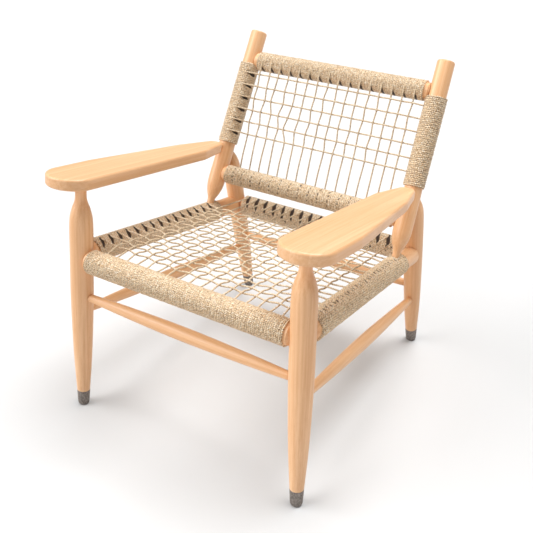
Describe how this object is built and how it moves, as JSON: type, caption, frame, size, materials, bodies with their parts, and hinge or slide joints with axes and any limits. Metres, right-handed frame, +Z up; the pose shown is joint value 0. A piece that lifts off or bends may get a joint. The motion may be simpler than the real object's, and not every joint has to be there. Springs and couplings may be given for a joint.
{
  "type": "armchair",
  "caption": "Low wooden lounge armchair: turned legs with metal foot caps, flat paddle arms, rails wrapped in paper cord, and an open woven cord seat and leaning back.",
  "frame": {"origin": "middle of the footprint, on the floor", "axes": "+Z up; the chair faces -Y, its back leans towards +Y; +X is to the right of somebody who stands in front and looks at it; X = 0 is the plane the frame is symmetrical about"},
  "size_m": [0.682, 0.7549, 0.7544],
  "materials": {
    "wood": "pale fine-grained hardwood, satin oil",
    "paper_cord": "twisted natural paper cord, matte",
    "foot_cap": "dull mottled grey metal, worn",
    "tack": "plain bright steel"
  },
  "bodies": {
    "root": {"front_leg_left": "wood", "front_leg_right": "wood", "rear_leg_left": "wood", "rear_leg_right": "wood", "front_foot_cap_left": "foot_cap", "front_foot_cap_right": "foot_cap", "rear_foot_cap_left": "foot_cap", "rear_foot_cap_right": "foot_cap", "front_seat_rail": "wood", "rear_seat_rail": "wood", "side_seat_rail_left": "wood", "side_seat_rail_right": "wood", "front_stretcher": "wood", "rear_stretcher": "wood", "side_stretcher_left": "wood", "side_stretcher_right": "wood", "back_post_left": "wood", "back_post_right": "wood", "top_back_rail": "wood", "lower_back_rail": "wood", "armrest_left": "wood", "armrest_right": "wood", "arm_dowel_left": "wood", "arm_dowel_right": "wood", "post_dowel_left": "wood", "post_dowel_right": "wood", "front_rail_wrap": "paper_cord", "rear_rail_wrap": "paper_cord", "side_rail_wrap_left": "paper_cord", "side_rail_wrap_right": "paper_cord", "top_rail_wrap": "paper_cord", "lower_rail_wrap": "paper_cord", "post_wrap_left": "paper_cord", "post_wrap_right": "paper_cord", "seat_warp_cords": "paper_cord", "seat_weft_cords": "paper_cord", "back_upright_cords": "paper_cord", "back_level_cords": "paper_cord", "seat_cord_tacks": "tack", "back_cord_tacks": "tack"}
  },
  "joints": []
}
